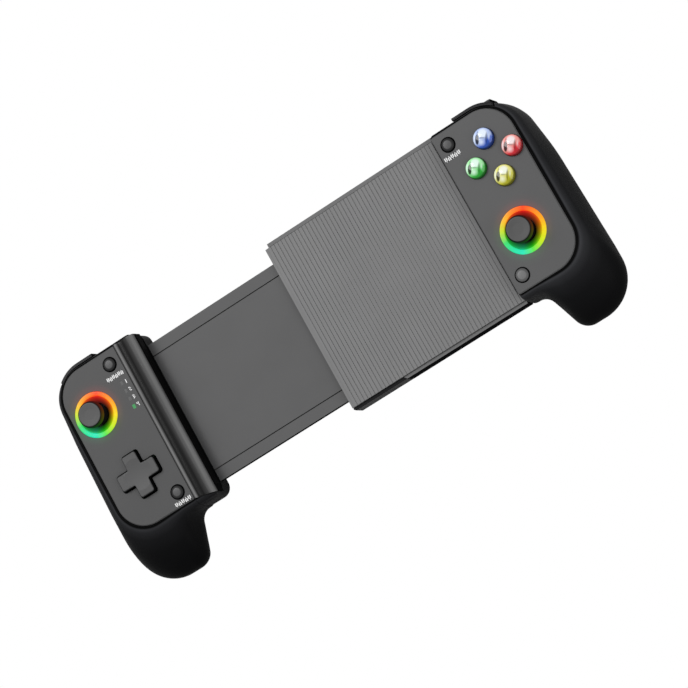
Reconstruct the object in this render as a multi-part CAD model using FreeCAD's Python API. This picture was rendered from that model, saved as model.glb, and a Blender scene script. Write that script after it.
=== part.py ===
import FreeCAD, Part
import math
import os
from FreeCAD import Vector

# Stretch gamepad that clamps a phone between two handles. It lies on its back: +X runs from the
# left handle to the right one, +Y towards the shoulder buttons, +Z out of the faceplates.
# A handle is drawn once in its own plane: u grows outwards from the seam beside the phone,
# v is along Y from the faceplate's mid-line, z is the height above the floor. Millimetres.

# Overall layout
seam_x = 91.85
face_z = 33.0
gap = 0.3

# Faceplates
plate_w = 37.1
plate_h = 83.6
plate_t = 2.0
plate_corner = 15.0
plate_seam_r = 1.0
plate_bevel = 0.5
plate_fit = 0.35
half_h = plate_h / 2
plate_under = face_z - plate_t

# Rear shells: how far each section stands out from the faceplate's outline, going down
# depth, top, upper side, middle side, lower side, grip tip, heel u, root u, root drop, top r, tip r
sections = (
    (0.4, 0.6, 0.7, 0.9, 0.9, 0.6, 20.0, 9.0, 0.4, 15.8, 15.8),
    (1.6, 1.2, 1.9, 3.0, 3.1, 2.9, 19.0, 8.6, 1.6, 16.0, 16.5),
    (3.6, 1.6, 2.7, 4.7, 5.3, 7.0, 18.2, 8.2, 2.9, 16.5, 17.5),
    (6.6, 1.7, 3.1, 5.8, 6.8, 12.8, 17.4, 8.0, 3.6, 17.0, 18.5),
    (10.2, 1.6, 3.3, 6.7, 8.1, 18.8, 16.6, 7.7, 3.9, 17.0, 19.5),
    (14.0, 1.4, 3.3, 7.3, 8.8, 23.6, 15.8, 7.6, 4.0, 17.0, 20.0),
    (18.0, 1.0, 3.1, 7.4, 8.9, 26.5, 15.0, 7.6, 4.0, 17.0, 20.0),
)
side_r = 120.0
low_side_r = 60.0
heel_r = 8.0
root_r = 7.0
shell_edge_r = 1.5
keel_inset = 14.0
keel_sweep = 74.0
keel_steps = 6
wall = 1.5
ledge_t = 2.0

# Screws and the posts that they pass through
screw_r = 1.0
screw_head_r = 2.0
screw_head_t = 1.4
screw_seat_z = 9.0
screw_bite = 6.0
post_r = 3.2
plate_post_r = 2.5
board_post_r = 2.2
screw_spots = ((31.8, 31.2), (31.0, -32.4), (5.2, 3.0), (33.0, -4.0))
board_spots = ((13.5, -36.0), (12.5, 31.0), (34.2, 5.5))

# Circuit boards
board_z = 21.2
board_t = 1.2
board_u0 = 2.0
board_u1 = 37.5
board_v0 = -39.0
board_v1 = 34.0
board_ear_u = 10.4
board_ear_v = 39.0
board_low = board_z - board_t

# Phone bed: the sleeve that the slider runs in
sleeve_len = 96.9
bed_drop = 7.0
bed_half = 43.0
bed_shift = -0.9
bed_plate_t = 1.5
rib_h = 0.25
rib_w = 1.55
rib_pitch = 2.0
rib_margin = 1.4
tray_z = 16.0
tray_floor = 1.8
ledge_w = 1.5
ledge_drop = 1.0
rim_w = 1.8
rim_drop = 0.4
tray_fit = 0.2
tongue_len = 11.0
tongue_half = 27.0
guard_len = 29.9
guard_chamfer = 0.9
guard_fit = 0.1
bed_z = face_z - bed_drop
sleeve_x = seam_x - sleeve_len
bed_under = bed_z - rib_h - bed_plate_t
tray_front = bed_shift - bed_half - tray_fit
tray_back = bed_shift + bed_half + tray_fit
floor_z = tray_z + tray_floor
sleeve_screw_xs = (10.0, 50.0, 85.0)
sleeve_screw_inset = 3.2
tongue_screw_u = 8.0
tongue_screw_v = 22.0
tongue_boss_r = 2.5
sleeve_head_t = 1.0
sleeve_screw_len = 6.0
guide_lip = 4.0

# Slider that carries the left handle
slider_w = 74.4
slider_shift = -2.2
slider_t = 3.5
slider_drop = 3.0
slider_overlap = 24.0
slider_tuck = 1.0
slider_screw_bite = 2.5
slider_screw_insets = (6.0, 18.0)
rail_w = 5.8
panel_t = 0.75
panel_groove = 0.4
slider_z = bed_z - slider_drop
slider_low = slider_z - slider_t
slider_v0 = slider_shift - slider_w / 2
slider_v1 = slider_shift + slider_w / 2
slider_x1 = sleeve_x + slider_overlap

# Flat cable between the halves
cable_v = -9.0
cable_w = 10.0
cable_t = 0.25
cable_turn = 3.0
cable_reach = 6.0

# Clamp jaw on the left handle
jaw_w = 11.7
jaw_corner = 5.0
jaw_base_z = 14.5
jaw_seat_z = bed_z - 2.0
jaw_top_w = 11.2
jaw_foot_w = 11.3
jaw_lip = 0.5
jaw_dip = 0.05
jaw_crown = 0.75
jaw_brow_z = 31.0
jaw_seam = 0.1
jaw_root = 0.3
jaw_reach = 2.4
jaw_front = 3.7
jaw_back = 1.2
pad_half = 40.5
pad_t = 0.6
pad_low = 0.4
pad_high = 4.8

# Sticks: centre of each in its handle
right_stick_uv = (16.7, -17.4)
left_stick_uv = (24.1, 17.9)
ring_r = 11.0
ring_w = 2.1
ring_proud = 0.25
ring_fit = 0.1
dish_flange_r = 12.0
dish_throat_r = 5.6
dish_t = 1.0
pivot_drop = 7.5
cap_r = 6.5
cap_rise = 7.7
cap_t = 3.4
cap_hollow = 0.4
neck_r = 2.4
stick_shaft_r = 2.0
stick_tail = 1.6
dome_r = 6.8
dome_t = 0.7
dome_polar = 50.0
stick_case_half = 7.0
stick_case_rise = 1.1
stick_well_r = 6.0
stick_floor = 1.2
pot_t = 2.2
pot_half = 4.0
yoke_r = 5.5
yoke_in_r = 4.3
yoke_half = 1.1
yoke_pin_r = 0.7
yoke_pin_end = 6.7
rocker_r = 4.0
rocker_half = 1.0
rocker_pin_r = 0.6
rocker_pin_end = 5.3
pin_play = 0.05
pivot_z = face_z - pivot_drop

# Face buttons
pad_uv = (22.1, 18.35)
face_spread = 9.85
face_r = 4.9
face_rise = 3.0
face_edge = 1.4
face_gap = 0.2
face_flange_r = 5.7
face_stem_r = 3.0
face_travel = 1.2
flange_t = 1.0
flange_play = 0.2
membrane_t = 0.6
membrane_r = 4.6
membrane_dome_r = 3.4
membrane_rise = 1.0
membrane_bar = 5.0

# Small buttons beside the seam
upper_small_uv = (6.1, 34.9)
lower_small_uv = (6.2, -34.8)
small_r = 3.35
small_gap = 0.35
small_rise = 1.2
small_edge = 0.4
small_flange_r = 4.1
small_stem_r = 1.6
small_travel = 0.5
switch_half = 2.0
switch_t = 1.5
switch_tip_r = 1.0
switch_tip = 0.2

# Direction pad
dpad_uv = (18.8, -17.8)
dpad_arm = 10.7
dpad_half = 3.9
dpad_rise = 2.4
dpad_corner = 1.2
dpad_skirt_z = 28.5
dpad_pivot_z = 24.8
dpad_hub_r = 2.9
dpad_ring_r = 4.6
dpad_ring_in_r = 3.4
dpad_ring_half = 0.9
dpad_pin_r = 0.65
dpad_ear_in = 5.2
dpad_ear_out = 6.6
dpad_foot_r = 6.4
dpad_foot_t = 0.8
dpad_post_at = 8.6
dpad_post_r = 1.2
dpad_post_play = 1.5
dpad_tilt = 3.5
dpad_hollow_r = 60.0
dpad_contact_r = 1.7
dpad_gap = gap + (face_z - dpad_pivot_z) * math.sin(math.radians(dpad_tilt))

# Player lights
light_u = 5.1
light_v = 24.0
light_pitch = 4.23
light_w = 1.5
light_l = 2.1
light_count = 4
light_bar_t = 1.0

# Shoulder: bumper above, trigger below, in pockets of the shell
pocket_u = 12.5
upper_pocket_v = 36.2
upper_pocket_z0 = 21.7
upper_pocket_z1 = 29.3
lower_pocket_u1 = 31.0
lower_pocket_v = 36.0
lower_pocket_z0 = 5.0
lower_pocket_z1 = 20.4
bumper_out = 3.3
bumper_side = 3.5
bumper_r = 19.0
bumper_t = 3.4
bumper_top_z = 31.0
bumper_lip_t = 1.5
bumper_end_u = 33.4
bumper_end_r = 0.8
bumper_end_v = 38.2
bumper_pin_u = 15.2
bumper_pin_back = 1.5
bumper_knuckle_r = 2.0
bumper_swing = 1.2
bumper_play = gap + (bumper_end_u - bumper_pin_u) * math.sin(math.radians(bumper_swing))
upper_pocket_u1 = bumper_end_u + gap + 0.1
shoulder_pin_r = 0.9
pin_sink = 0.9
trigger_out = 5.3
trigger_r = 20.0
trigger_side = 6.9
trigger_pin_v = 38.8
trigger_pin_z = 17.2
trigger_knuckle_r = 2.4
trigger_u1 = 30.5
trigger_blade_v = 41.6
trigger_top_z = 20.1
trigger_head = 3.4
trigger_belly_z = 14.2
trigger_toe = 4.3
trigger_toe_z = 8.0
trigger_tip = 2.0
trigger_tip_z = 3.8
spring_in_r = 1.1
spring_out_r = 1.9
spring_len = 5.0

# Battery and charging port
battery_u = (11.5, 27.5)
battery_v = (-32.0, 8.0)
battery_z = 7.5
battery_t = 6.0
cradle_t = 1.6
cradle_inset = 6.0
port_uv = (6.4, 37.2)
port_w = 8.9
port_h = 3.2
port_wall = 0.4
port_tongue_t = 0.7

nodes = {}


# Small helpers for solids

def box(x0, x1, y0, y1, z0, z1):
    return Part.makeBox(x1 - x0, y1 - y0, z1 - z0, Vector(x0, y0, z0))


def post(x, y, z0, z1, r):
    return Part.makeCylinder(r, z1 - z0, Vector(x, y, z0))


def rod_x(x0, x1, y, z, r):
    return Part.makeCylinder(r, x1 - x0, Vector(x0, y, z), Vector(1, 0, 0))


def rod_y(x, y0, y1, z, r):
    return Part.makeCylinder(r, y1 - y0, Vector(x, y0, z), Vector(0, 1, 0))


def turned(profile, x, y):
    wire = Part.makePolygon([Vector(r, 0, z) for r, z in profile + profile[:1]])
    solid = Part.Face(wire).revolve(Vector(0, 0, 0), Vector(0, 0, 1), 360)
    solid.translate(Vector(x, y, 0))
    return solid


def prism(wire, z0, z1):
    face = Part.Face(wire)
    face.translate(Vector(0, 0, z0))
    return face.extrude(Vector(0, 0, z1 - z0))


def along_v(points, v0, v1):
    wire = Part.makePolygon([Vector(u, v0, z) for u, z in points + points[:1]])
    return Part.Face(wire).extrude(Vector(0, v1 - v0, 0))


def rounded(corners, z=0.0):
    """Closed outline with an arc at each corner (x, y, radius); a radius of 0 stays sharp."""
    count = len(corners)
    bends = []
    for i, (x, y, r) in enumerate(corners):
        before = Vector(corners[i - 1][0], corners[i - 1][1], z)
        here = Vector(x, y, z)
        after = Vector(corners[(i + 1) % count][0], corners[(i + 1) % count][1], z)
        come = (here - before).normalize()
        go = (after - here).normalize()
        turn = come.getAngle(go)
        if r == 0 or turn < 1e-6:
            bends.append((here, None, here))
            continue
        reach = r * math.tan(turn / 2)
        inward = (go - come).normalize()
        middle = here + inward * (r / math.cos(turn / 2) - r)
        bends.append((here - come * reach, middle, here + go * reach))
    edges = []
    for i, (start, middle, end) in enumerate(bends):
        if middle is not None:
            edges.append(Part.Arc(start, middle, end).toShape())
        edges.append(Part.makeLine(end, bends[(i + 1) % count][0]))
    return Part.Wire(edges)


def inset(corners, t):
    """The same outline moved inwards by t, outwards when t is negative."""
    count = len(corners)
    area = 0.0
    for i in range(count):
        x0, y0 = corners[i - 1][:2]
        x1, y1 = corners[i][:2]
        area += x0 * y1 - x1 * y0
    hand = 1 if area > 0 else -1
    moved = []
    for i in range(count):
        x0, y0 = corners[i - 1][:2]
        x1, y1, r = corners[i]
        x2, y2 = corners[(i + 1) % count][:2]
        first = math.atan2(y1 - y0, x1 - x0)
        second = math.atan2(y2 - y1, x2 - x1)
        nx = (-math.sin(first) - math.sin(second)) * hand
        ny = (math.cos(first) + math.cos(second)) * hand
        k = t / (1 + math.cos(second - first))
        turn = math.remainder(second - first, 2 * math.pi) * hand
        if turn > 0:
            new_r = max(r - 1.15 * t, 2.0)
        else:
            new_r = max(r - 0.4 * t, 1.2)
        moved.append((x1 + nx * k, y1 + ny * k, new_r))
    return moved


def to_right(shape):
    moved = shape.copy()
    moved.translate(Vector(seam_x, 0, 0))
    return moved


def to_left(shape):
    moved = shape.mirror(Vector(0, 0, 0), Vector(1, 0, 0))
    moved.translate(Vector(-seam_x, 0, 0))
    return moved


def fuse(shapes):
    return shapes[0].multiFuse(shapes[1:]).removeSplitter()


# Handle outlines

def section_corners(row):
    depth, top, high, mid, low, tip, heel_u, root_u, root, top_r, tip_r = row
    top_v = half_h + top
    tip_v = -half_h - tip
    return [
        (0.0, top_v, shell_edge_r),
        (plate_w + high, top_v, top_r),
        (plate_w + mid, 0.25 * top_v, side_r),
        (plate_w + low, tip_v + 26.0, low_side_r),
        (plate_w + low - 0.2, tip_v, tip_r),
        (heel_u, tip_v, heel_r),
        (root_u, -half_h - root, root_r),
        (0.0, -half_h - root, shell_edge_r),
    ]


def plate_corners():
    return [
        (0.0, half_h, plate_seam_r),
        (plate_w, half_h, plate_corner),
        (plate_w, -half_h, plate_corner),
        (0.0, -half_h, plate_seam_r),
    ]


def handle_form(t):
    """Outer form of a handle, or its hollow when t is the wall."""
    scale = (face_z - t) / face_z
    wires = []
    for row in sections:
        outline = section_corners(row)
        if t:
            outline = inset(outline, t)
        wires.append(rounded(outline, t + (face_z - row[0]) * scale))
    widest = section_corners(sections[-1])
    widest_depth = sections[-1][0]
    full = math.radians(keel_sweep)
    for k in range(1, keel_steps + 1):
        angle = full * k / keel_steps
        depth = widest_depth + (face_z - widest_depth) * math.sin(angle) / math.sin(full)
        draw_in = keel_inset * (1 - math.cos(angle)) / (1 - math.cos(full))
        wires.append(rounded(inset(widest, t + draw_in), t + (face_z - depth) * scale))
    return Part.makeLoft(wires, True, False)


def rear_shell(outer, wide_spot, wide_r):
    """Shell of one handle; its ledge makes way for the round flange at wide_spot."""
    hollow = handle_form(wall)
    far = half_h + 20.0
    upper = (pocket_u, upper_pocket_u1, upper_pocket_v, upper_pocket_z0, upper_pocket_z1)
    lower = (pocket_u, lower_pocket_u1, lower_pocket_v, lower_pocket_z0, lower_pocket_z1)
    for u0, u1, v0, z0, z1 in (upper, lower):
        hollow = hollow.cut(box(u0 - wall, u1 + wall, v0 - wall, far, z0 - wall, z1 + wall))
    shell = outer.cut(hollow).cut(box(-1, 0, -far, far, 0, face_z))
    ledge = outer.common(box(-1, plate_w + 9, -far, far, plate_under - ledge_t, plate_under))
    opening = prism(rounded(inset(plate_corners(), wall)), plate_under - ledge_t - 1, face_z)
    shell = shell.fuse(ledge.cut(opening))
    shell = shell.cut(post(*wide_spot, plate_under - ledge_t - 0.1, plate_under, wide_r + gap))
    recess = prism(rounded(inset(plate_corners(), -plate_fit)), plate_under, face_z + 1)
    shell = shell.cut(recess)
    for u0, u1, v0, z0, z1 in (upper, lower):
        shell = shell.cut(box(u0, u1, v0, far, z0, z1))
    shell = shell.cut(bumper_room())
    solids = [post(u, v, 0, board_low - gap, post_r) for u, v in screw_spots]
    solids += [post(u, v, 0, board_low, board_post_r) for u, v in board_spots]
    shell = shell.multiFuse([solid.common(outer) for solid in solids])
    for u, v in screw_spots:
        shell = shell.cut(post(u, v, -1, screw_seat_z, screw_head_r + gap))
        shell = shell.cut(post(u, v, screw_seat_z - 1, board_low, screw_r + 0.1))
    return shell.cut(fuse(shoulder_pins()))


def board_blank():
    blank = box(board_u0, board_u1, board_v0, board_v1, board_low, board_z)
    ear = box(board_u0, board_ear_u, board_v1 - 1, board_ear_v, board_low, board_z)
    blank = blank.fuse(ear).removeSplitter().common(handle_form(wall + gap))
    for u, v in screw_spots:
        blank = blank.cut(post(u, v, board_low - 1, board_z + 1, screw_r + gap))
    return blank


def case_screws():
    end = board_z + screw_bite
    screws = []
    for u, v in screw_spots:
        head = post(u, v, screw_seat_z - screw_head_t, screw_seat_z, screw_head_r)
        screws.append(fuse([head, post(u, v, screw_seat_z, end, screw_r)]))
    return Part.Compound(screws)


def faceplate_blank():
    plate = prism(rounded(plate_corners()), plate_under, face_z)
    rim = [e for e in plate.Edges if e.BoundBox.ZMin > face_z - 0.01]
    plate = plate.makeChamfer(plate_bevel, rim)
    plate = plate.multiFuse([post(u, v, board_z, plate_under + 0.5, plate_post_r)
                             for u, v in screw_spots])
    for u, v in screw_spots:
        plate = plate.cut(post(u, v, board_z - 1, board_z + screw_bite, screw_r))
    return plate


def open_round(plate, uv, r):
    return plate.cut(post(uv[0], uv[1], plate_under - 1, face_z + 1, r))


# Stick assembly

def ring_light(u, v):
    band = post(u, v, plate_under, face_z + ring_proud, ring_r)
    band = band.cut(post(u, v, plate_under - 1, face_z + 1, ring_r - ring_w))
    top = [e for e in band.Edges if e.BoundBox.ZMin > face_z]
    return band.makeChamfer(ring_proud * 0.8, top)


def stick_dish(u, v):
    rim = ring_r - ring_w - pin_play
    low = plate_under - dish_t
    return turned([(dish_flange_r, low), (dish_flange_r, plate_under), (rim, plate_under),
                   (rim, face_z), (rim - 0.4, face_z), (dish_throat_r, low + 0.8),
                   (dish_throat_r, low)], u, v)


def stick_base(u, v):
    top = pivot_z + stick_case_rise
    h = stick_case_half
    case = box(u - h, u + h, v - h, v + h, board_z, top)
    case = case.cut(post(u, v, board_z + stick_floor, top + 1, stick_well_r))
    pots = [box(u + h - 0.2, u + h + pot_t, v - pot_half, v + pot_half, board_z, pivot_z + 0.3),
            box(u - pot_half, u + pot_half, v + h - 0.2, v + h + pot_t, board_z, pivot_z + 0.3)]
    case = case.multiFuse(pots)
    return case.cut(rod_x(u - yoke_pin_end - 0.1, u + yoke_pin_end + 0.1, v, pivot_z,
                          yoke_pin_r + pin_play))


def stick_yoke(u, v):
    ring = post(u, v, pivot_z - yoke_half, pivot_z + yoke_half, yoke_r)
    pins = rod_x(u - yoke_pin_end, u + yoke_pin_end, v, pivot_z, yoke_pin_r)
    hole = post(u, v, pivot_z - 2 * yoke_half, pivot_z + 2 * yoke_half, yoke_in_r)
    yoke = ring.fuse(pins).cut(hole)
    return yoke.cut(rod_y(u, v - yoke_r, v + yoke_r, pivot_z, rocker_pin_r + pin_play))


def stick_rocker(u, v):
    collar = post(u, v, pivot_z - rocker_half, pivot_z + rocker_half, rocker_r)
    pins = rod_y(u, v - rocker_pin_end, v + rocker_pin_end, pivot_z, rocker_pin_r)
    bore = post(u, v, pivot_z - 2 * rocker_half, pivot_z + 2 * rocker_half, stick_shaft_r + pin_play)
    return collar.fuse(pins).cut(bore)


def stick(u, v):
    top = face_z + cap_rise
    cap = post(u, v, top - cap_t, top, cap_r)
    cap = cap.makeFillet(1.1, [e for e in cap.Edges if e.BoundBox.ZMin > top - 0.01])
    cap = cap.makeFillet(0.5, [e for e in cap.Edges if e.BoundBox.ZMax < top - cap_t + 0.01])
    hollow_r = ((cap_r - 1.5) ** 2 + cap_hollow ** 2) / (2 * cap_hollow)
    cap = cap.cut(Part.makeSphere(hollow_r, Vector(u, v, top - cap_hollow + hollow_r)))
    centre = Vector(u, v, pivot_z)
    dome = Part.makeSphere(dome_r, centre).cut(Part.makeSphere(dome_r - dome_t, centre))
    brim = pivot_z + dome_r * math.cos(math.radians(dome_polar))
    dome = dome.common(post(u, v, brim, pivot_z + dome_r + 1, dome_r))
    shaft = post(u, v, pivot_z - stick_tail, brim + 1, stick_shaft_r)
    neck = post(u, v, brim + 0.5, top - cap_t + 1, neck_r)
    return fuse([cap, neck, shaft, dome])


# Buttons

def dome_button(u, v, r, rise, edge, flange_r, stem_r, stem_z):
    top = face_z + rise
    drop = rise - edge
    crown = (r ** 2 + drop ** 2) / (2 * drop)
    body = post(u, v, plate_under - 1, top, r)
    body = body.common(Part.makeSphere(crown, Vector(u, v, top - crown)))
    flange_top = plate_under - flange_play
    flange = post(u, v, flange_top - flange_t, flange_top, flange_r)
    return fuse([body, flange, post(u, v, stem_z, flange_top - flange_t / 2, stem_r)])


def face_button(u, v):
    stem_z = board_z + membrane_t + membrane_rise + face_travel + 0.2
    return dome_button(u, v, face_r, face_rise, face_edge, face_flange_r, face_stem_r, stem_z)


def small_button(uv):
    stem_z = board_z + switch_t + switch_tip + small_travel + 0.1
    return dome_button(uv[0], uv[1], small_r, small_rise, small_edge, small_flange_r,
                       small_stem_r, stem_z)


def face_spots():
    u, v = pad_uv
    return {"north": (u, v + face_spread), "east": (u + face_spread, v),
            "south": (u, v - face_spread), "west": (u - face_spread, v)}


def button_membrane(centre, spots):
    top = board_z + membrane_t
    half = membrane_bar / 2
    u, v = centre
    shapes = []
    for x, y in spots:
        shapes.append(post(x, y, board_z, top, membrane_r))
        shapes.append(box(min(x, u) - half, max(x, u) + half, min(y, v) - half, max(y, v) + half,
                          board_z, top))
        shapes.append(Part.makeCone(membrane_dome_r, membrane_dome_r - membrane_rise, membrane_rise,
                                    Vector(x, y, top)))
    return fuse(shapes)


def switches():
    solids = []
    for u, v in (upper_small_uv, lower_small_uv):
        body = box(u - switch_half, u + switch_half, v - switch_half, v + switch_half,
                   board_z, board_z + switch_t)
        tip = post(u, v, board_z + switch_t - 0.2, board_z + switch_t + switch_tip, switch_tip_r)
        solids.append(fuse([body, tip]))
    return Part.Compound(solids)


# Direction pad

def cross_outline(arm, half, corner):
    """Plus-shaped outline about the pad's centre, with round outer corners."""
    u, v = dpad_uv
    quarter = [(arm, -half), (arm, half), (half, half)]
    points = []
    for k in range(4):
        for i, (x, y) in enumerate(quarter):
            for _ in range(k):
                x, y = -y, x
            points.append((u + x, v + y, corner if i < 2 else 0.5))
    return rounded(points)


def dpad_mount():
    u, v = dpad_uv
    foot = post(u, v, board_z, board_z + dpad_foot_t, dpad_foot_r)
    ears = []
    for side in (-1, 1):
        x0, x1 = sorted((u + side * dpad_ear_in, u + side * dpad_ear_out))
        ears.append(box(x0, x1, v - 1.6, v + 1.6, board_z, dpad_pivot_z + 1.6))
    mount = fuse([foot] + ears)
    reach = dpad_ear_out + 1
    return mount.cut(rod_x(u - reach, u + reach, v, dpad_pivot_z, dpad_pin_r + pin_play))


def dpad_gimbal():
    u, v = dpad_uv
    z0 = dpad_pivot_z - dpad_ring_half
    z1 = dpad_pivot_z + dpad_ring_half
    ring = post(u, v, z0, z1, dpad_ring_r)
    pins = rod_x(u - dpad_ear_out, u + dpad_ear_out, v, dpad_pivot_z, dpad_pin_r)
    ring = ring.fuse(pins).cut(post(u, v, z0 - 1, z1 + 1, dpad_ring_in_r))
    return ring.cut(rod_y(u, v - dpad_ring_r, v + dpad_ring_r, dpad_pivot_z, dpad_pin_r + pin_play))


def dpad_cross():
    u, v = dpad_uv
    top = face_z + dpad_rise
    cross = prism(cross_outline(dpad_arm, dpad_half, dpad_corner), dpad_skirt_z, top)
    cross = cross.makeChamfer(0.4, [e for e in cross.Edges if e.BoundBox.ZMin > top - 0.01])
    cross = cross.cut(Part.makeSphere(dpad_hollow_r, Vector(u, v, top + dpad_hollow_r - 0.5)))
    hub = post(u, v, dpad_pivot_z - 1.0, dpad_skirt_z + 1, dpad_hub_r)
    pin_reach = dpad_ring_r - 0.1
    pins = rod_y(u, v - pin_reach, v + pin_reach, dpad_pivot_z, dpad_pin_r)
    legs = []
    for x, y in cross_ends():
        legs.append(post(x, y, board_z + dpad_post_play, dpad_skirt_z + 1, dpad_post_r))
    return fuse([cross, hub, pins] + legs)


def cross_ends():
    u, v = dpad_uv
    a = dpad_post_at
    return [(u + a, v), (u, v + a), (u - a, v), (u, v - a)]


def dpad_contacts():
    return Part.Compound([post(x, y, board_z, board_z + membrane_t, dpad_contact_r)
                          for x, y in cross_ends()])


# Player lights

def light_spots():
    return [(light_u, light_v - k * light_pitch) for k in range(light_count)]


def player_lights():
    shapes = []
    first = light_spots()[0][1] + light_l
    last = light_spots()[-1][1] - light_l
    shapes.append(box(light_u - light_l, light_u + light_l, last, first,
                      plate_under - light_bar_t, plate_under))
    for u, v in light_spots():
        shapes.append(light_prism(u, v, plate_under - 0.2, face_z))
    return fuse(shapes)


def light_prism(u, v, z0, z1):
    return box(u - light_w / 2, u + light_w / 2, v - light_l / 2, v + light_l / 2, z0, z1)


# Shoulder buttons

def bumper_pin_v():
    return half_h + bumper_out - bumper_t - bumper_pin_back


def shoulder_pins():
    upper = post(bumper_pin_u, bumper_pin_v(), upper_pocket_z0 - pin_sink,
                 upper_pocket_z1 + pin_sink, shoulder_pin_r)
    lower = rod_x(pocket_u - pin_sink, lower_pocket_u1 + pin_sink, trigger_pin_v, trigger_pin_z,
                  shoulder_pin_r)
    return [upper, lower]


def shoulder_plan(out, side, r):
    return rounded([(0, half_h + out, 0), (plate_w + side, half_h + out, r),
                    (plate_w + side, 0, 0), (0, 0, 0)])


def bumper_room():
    """Space in the shell's rim that the lip of the bumper swings through."""
    cut_in = bumper_lip_t + bumper_play
    keep = prism(shoulder_plan(bumper_out - cut_in, bumper_side - cut_in, bumper_r - cut_in),
                 upper_pocket_z1 - 1, face_z + 2)
    return box(pocket_u, upper_pocket_u1, upper_pocket_v, half_h + bumper_out + 1, upper_pocket_z1,
               face_z + 1).cut(keep)


def bumper():
    z0 = upper_pocket_z0 + gap
    z1 = upper_pocket_z1 - gap
    full = prism(shoulder_plan(bumper_out, bumper_side, bumper_r), z0, bumper_top_z)
    in_r = bumper_r - bumper_t
    inner = prism(shoulder_plan(bumper_out - bumper_t, bumper_side - bumper_t, in_r), z0 - 1, z1)
    lip_in = bumper_out - bumper_lip_t
    lip_side = bumper_side - bumper_lip_t
    lip = prism(shoulder_plan(lip_in, lip_side, bumper_r - bumper_lip_t), z1, bumper_top_z + 1)
    bar = full.cut(inner).cut(lip)
    bar = bar.common(box(pocket_u + gap, bumper_end_u, bumper_end_v, half_h + 20, z0, bumper_top_z))
    edges = [e for e in bar.Edges if e.BoundBox.ZMin > bumper_top_z - 0.01
             and e.BoundBox.YMax > half_h + bumper_out - 0.01 and e.Length > 5]
    bar = bar.makeFillet(0.8, edges)
    corner = [e for e in bar.Edges if e.BoundBox.XMin > bumper_end_u - 0.01 and e.BoundBox.YLength < 0.01
              and e.BoundBox.YMin > half_h - bumper_lip_t and e.BoundBox.ZLength > bumper_t]
    bar = bar.makeFillet(bumper_end_r, corner)
    pin_v = bumper_pin_v()
    u0 = bumper_pin_u - bumper_knuckle_r
    knuckle = post(bumper_pin_u, pin_v, z0, z1, bumper_knuckle_r)
    web = box(max(u0, pocket_u + gap), bumper_pin_u + bumper_knuckle_r, pin_v,
              half_h + bumper_out - bumper_t + 0.5, z0, z1)
    bar = fuse([bar, knuckle, web])
    return bar.cut(post(bumper_pin_u, pin_v, z0 - 1, z1 + 1, shoulder_pin_r + pin_play))


def trigger():
    u0 = pocket_u + gap
    back_v = trigger_blade_v
    head = Vector(0, half_h + trigger_head, trigger_top_z)
    belly = Vector(0, half_h + trigger_out, trigger_belly_z)
    toe = Vector(0, half_h + trigger_toe, trigger_toe_z)
    tip = Vector(0, half_h + trigger_tip, trigger_tip_z)
    front = Part.BSplineCurve()
    front.interpolate([head, belly, toe, tip])
    back = [tip, Vector(0, back_v + 0.6, trigger_tip_z), Vector(0, back_v, trigger_toe_z),
            Vector(0, back_v, trigger_top_z), head]
    edges = [front.toShape()] + [Part.makeLine(back[i], back[i + 1]) for i in range(len(back) - 1)]
    blade = Part.Face(Part.Wire(edges))
    blade.translate(Vector(u0, 0, 0))
    blade = blade.extrude(Vector(trigger_u1 - u0, 0, 0))
    blade = blade.common(prism(shoulder_plan(trigger_out, trigger_side, trigger_r), 0, face_z))
    k0 = u0 + spring_len + gap
    k1 = lower_pocket_u1 - gap
    knuckle = rod_x(k0, k1, trigger_pin_v, trigger_pin_z, trigger_knuckle_r)
    web = box(k0, k1, trigger_pin_v, back_v + 0.5, trigger_pin_z - 2.0,
              trigger_pin_z + trigger_knuckle_r)
    solid = fuse([blade, knuckle, web])
    return solid.cut(rod_x(u0 - 1, k1 + 1, trigger_pin_v, trigger_pin_z, shoulder_pin_r + pin_play))


def trigger_spring():
    u0 = pocket_u + gap
    sleeve = rod_x(u0, u0 + spring_len - gap, trigger_pin_v, trigger_pin_z, spring_out_r)
    return sleeve.cut(rod_x(u0 - 1, u0 + spring_len, trigger_pin_v, trigger_pin_z, spring_in_r))


# Right handle only

def battery():
    cell = box(*battery_u, *battery_v, battery_z, battery_z + battery_t)
    length = battery_v[1] - battery_v[0]
    return cell.makeFillet(1.5, [e for e in cell.Edges if abs(e.Length - length) < 0.01])


def cradle():
    ribs = []
    for u in (battery_u[0] + cradle_inset, battery_u[1] - cradle_inset - cradle_t):
        ribs.append(box(u, u + cradle_t, battery_v[0], battery_v[1], 0, battery_z))
    return ribs


def port_mouth(grow):
    u, v = port_uv
    half = port_w / 2 + grow
    r = port_h / 2 - 0.1 + grow
    corners = [(u - half, board_z - grow, r), (u + half, board_z - grow, r),
               (u + half, board_z + port_h + grow, r), (u - half, board_z + port_h + grow, r)]
    face = Part.Face(rounded(corners))
    face.rotate(Vector(0, 0, 0), Vector(1, 0, 0), 90)
    face.translate(Vector(0, v, 0))
    return face


def port_front():
    return half_h + sections[4][1] - 0.2


def usb_port():
    u, v = port_uv
    deep = port_front() - v
    sleeve = port_mouth(0).extrude(Vector(0, deep, 0))
    hollow = port_mouth(-port_wall).extrude(Vector(0, deep, 0))
    hollow.translate(Vector(0, 1.0, 0))
    mid = board_z + port_h / 2
    tongue = box(u - 3.2, u + 3.2, v + 0.5, v + deep - 1.2, mid - port_tongue_t / 2,
                 mid + port_tongue_t / 2)
    return fuse([sleeve.cut(hollow), tongue])


def tongue_bosses():
    return [post(tongue_screw_u, side * tongue_screw_v, 0, tray_z, tongue_boss_r)
            for side in (-1, 1)]


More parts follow.
